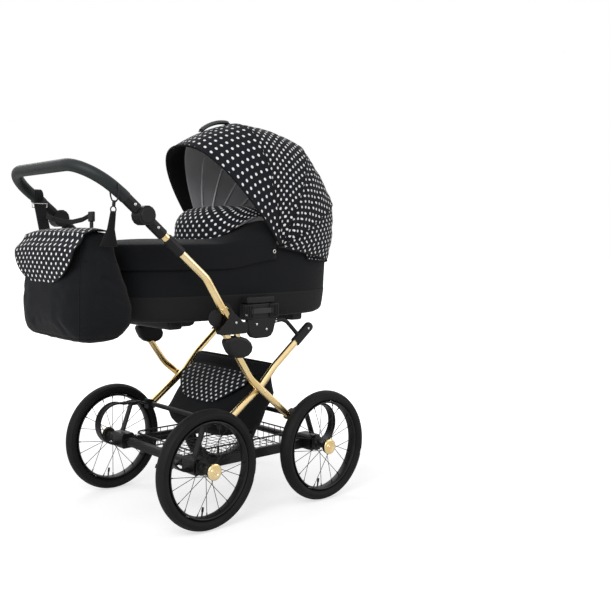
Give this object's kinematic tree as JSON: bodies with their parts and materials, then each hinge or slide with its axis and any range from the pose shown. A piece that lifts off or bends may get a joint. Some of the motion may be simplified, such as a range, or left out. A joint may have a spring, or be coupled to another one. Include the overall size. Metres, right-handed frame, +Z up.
{
  "type": "pram",
  "caption": "Retro pram: spoked air tyres on curled leaf springs, crossed gold legs, folding tilting handle, carrycot with folding hood and apron, wire basket and changing bag.",
  "frame": {"origin": "on the floor under the middle of the bounding box", "axes": "+Z up, +X towards the hood end (the way the pram is pushed), +Y to the pram's left side"},
  "size_m": [1.1248, 0.6036, 1.2599],
  "materials": {
    "tyre_rubber": "matt black rubber",
    "black_metal": "semi-matt black powder coat",
    "black_plastic": "fine-grained black moulding",
    "gold_plate": "polished gold-coloured plating",
    "black_fabric": "plain black woven cloth",
    "dotted_fabric": "dark cloth with small white dots",
    "grip_leather": "dark imitation leather",
    "grey_lining": "quilted grey lining"
  },
  "bodies": {
    "chassis": {"axle_rear": "black_metal", "axle_front": "black_metal", "side_rail_right": "black_metal", "side_rail_left": "black_metal", "basket": "black_metal"},
    "brake": {"brake_pedal": "black_plastic"},
    "frame": {"leg_outer_right": "gold_plate", "leg_outer_left": "gold_plate", "leg_inner_right": "gold_plate", "leg_inner_left": "gold_plate", "hinge_bracket_right": "black_plastic", "hinge_bracket_left": "black_plastic", "leg_pod_right": "black_plastic", "leg_pod_left": "black_plastic", "seat_mount_right": "black_plastic", "seat_mount_left": "black_plastic", "link_arm_right": "black_plastic", "link_arm_left": "black_plastic", "spring_rear_right": "black_metal", "spring_rear_left": "black_metal", "spring_front_right": "black_metal", "spring_front_left": "black_metal", "cross_bar_rear": "black_metal", "cross_bar_front": "black_metal", "under_bag": "black_fabric"},
    "handle": {"handle_tube_right": "gold_plate", "handle_tube_left": "gold_plate", "handle_socket_right": "black_plastic", "handle_socket_left": "black_plastic"},
    "grip": {"grip_socket_right": "black_plastic", "grip_socket_left": "black_plastic", "grip": "grip_leather"},
    "changing_bag": {"changing_bag": "black_fabric", "bag_strap_right": "black_fabric", "bag_strap_left": "black_fabric"},
    "bag_flap": {"bag_flap": "dotted_fabric"},
    "carrycot": {"carrycot_shell": "black_fabric", "mattress": "grey_lining", "apron": "black_fabric", "hood_rear": "dotted_fabric"},
    "hood_low": {"hood_panel_low": "dotted_fabric"},
    "hood_high": {"hood_panel_high": "dotted_fabric"},
    "hood_front": {"hood_front": "dotted_fabric", "carry_handle": "grip_leather"},
    "wheel_rear_right": {"tyre_rear_right": "tyre_rubber", "wheel_rear_right": "black_metal", "hub_cap_rear_right": "gold_plate"},
    "wheel_rear_left": {"tyre_rear_left": "tyre_rubber", "wheel_rear_left": "black_metal", "hub_cap_rear_left": "gold_plate"},
    "wheel_front_right": {"tyre_front_right": "tyre_rubber", "wheel_front_right": "black_metal", "hub_cap_front_right": "gold_plate"},
    "wheel_front_left": {"tyre_front_left": "tyre_rubber", "wheel_front_left": "black_metal", "hub_cap_front_left": "gold_plate"},
    "slider_right": {"fold_slider_right": "black_plastic"},
    "button_right": {"joint_button_right": "black_plastic"},
    "slider_left": {"fold_slider_left": "black_plastic"},
    "button_left": {"joint_button_left": "black_plastic"}
  },
  "joints": [
    {"name": "spin_rear_right", "type": "hinge", "parent": "chassis", "child": "wheel_rear_right", "pos_m": [-0.1535, -0.2635, 0.18], "axis": [0, 1, 0], "continuous": true},
    {"name": "spin_rear_left", "type": "hinge", "parent": "chassis", "child": "wheel_rear_left", "pos_m": [-0.1535, 0.2635, 0.18], "axis": [0, 1, 0], "continuous": true},
    {"name": "spin_front_right", "type": "hinge", "parent": "chassis", "child": "wheel_front_right", "pos_m": [0.3265, -0.2635, 0.18], "axis": [0, 1, 0], "continuous": true},
    {"name": "spin_front_left", "type": "hinge", "parent": "chassis", "child": "wheel_front_left", "pos_m": [0.3265, 0.2635, 0.18], "axis": [0, 1, 0], "continuous": true},
    {"name": "brake_press", "type": "hinge", "parent": "chassis", "child": "brake", "pos_m": [-0.1535, 0, 0.18], "axis": [0, -1, 0], "range_deg": [0, 20]},
    {"name": "suspension", "type": "slide", "parent": "chassis", "child": "frame", "axis": [0, 0, 1], "range_m": [-0.02, 0], "stiffness_N_per_m": 8000, "springref_m": 0.018, "deforming": ["spring_rear_right", "spring_rear_left", "spring_front_right", "spring_front_left"]},
    {"name": "frame_fold", "type": "hinge", "parent": "frame", "child": "handle", "pos_m": [-0.0355, 0.24, 0.605], "axis": [0, 1, 0], "range_deg": [0, 150]},
    {"name": "carrycot_lift", "type": "slide", "parent": "frame", "child": "carrycot", "axis": [0.9848, 0, 0.1736], "range_m": [0, 1.47]},
    {"name": "handle_tilt", "type": "hinge", "parent": "handle", "child": "grip", "pos_m": [-0.36433, 0.245, 0.9213], "axis": [0, 1, 0], "range_deg": [-30, 30]},
    {"name": "bag_swing", "type": "hinge", "parent": "grip", "child": "changing_bag", "pos_m": [-0.44177, 0.2234, 1.00843], "axis": [0, 1, 0], "range_deg": [-30, 30]},
    {"name": "bag_flap_lift", "type": "hinge", "parent": "changing_bag", "child": "bag_flap", "pos_m": [-0.4135, 0, 0.8703], "axis": [0, 1, 0], "range_deg": [0, 80]},
    {"name": "slider_right_pull", "type": "slide", "parent": "handle", "child": "slider_right", "axis": [-0.7738, 0, 0.6334], "range_m": [0, 0.015], "stiffness_N_per_m": 400, "springref_m": -0.01},
    {"name": "slider_left_pull", "type": "slide", "parent": "handle", "child": "slider_left", "axis": [-0.7738, 0, 0.6334], "range_m": [0, 0.015], "stiffness_N_per_m": 400, "springref_m": -0.01},
    {"name": "button_right_press", "type": "slide", "parent": "handle", "child": "button_right", "axis": [0, 1, 0], "range_m": [0, 0.005], "stiffness_N_per_m": 900, "springref_m": -0.003},
    {"name": "button_left_press", "type": "slide", "parent": "handle", "child": "button_left", "axis": [0, -1, 0], "range_m": [0, 0.005], "stiffness_N_per_m": 900, "springref_m": -0.003},
    {"name": "hood_fold", "type": "hinge", "parent": "carrycot", "child": "hood_low", "pos_m": [0.1965, 0.19, 0.83], "axis": [0, 1, 0], "range_deg": [0, 36]},
    {"name": "hood_fold_high", "type": "hinge", "parent": "hood_low", "child": "hood_high", "pos_m": [0.1965, 0.19, 0.83], "axis": [0, 1, 0], "range_deg": [0, 36]},
    {"name": "hood_fold_front", "type": "hinge", "parent": "hood_high", "child": "hood_front", "pos_m": [0.1965, 0.19, 0.83], "axis": [0, 1, 0], "range_deg": [0, 36]}
  ],
  "couplings": [
    {"joint": "carrycot_lift", "follows": "frame_fold", "m_per_rad": 0.56},
    {"joint": "bag_swing", "follows": "handle_tilt", "ratio": -0.75},
    {"joint": "hood_fold_high", "follows": "hood_fold", "ratio": 1},
    {"joint": "hood_fold_front", "follows": "hood_fold", "ratio": 1}
  ]
}
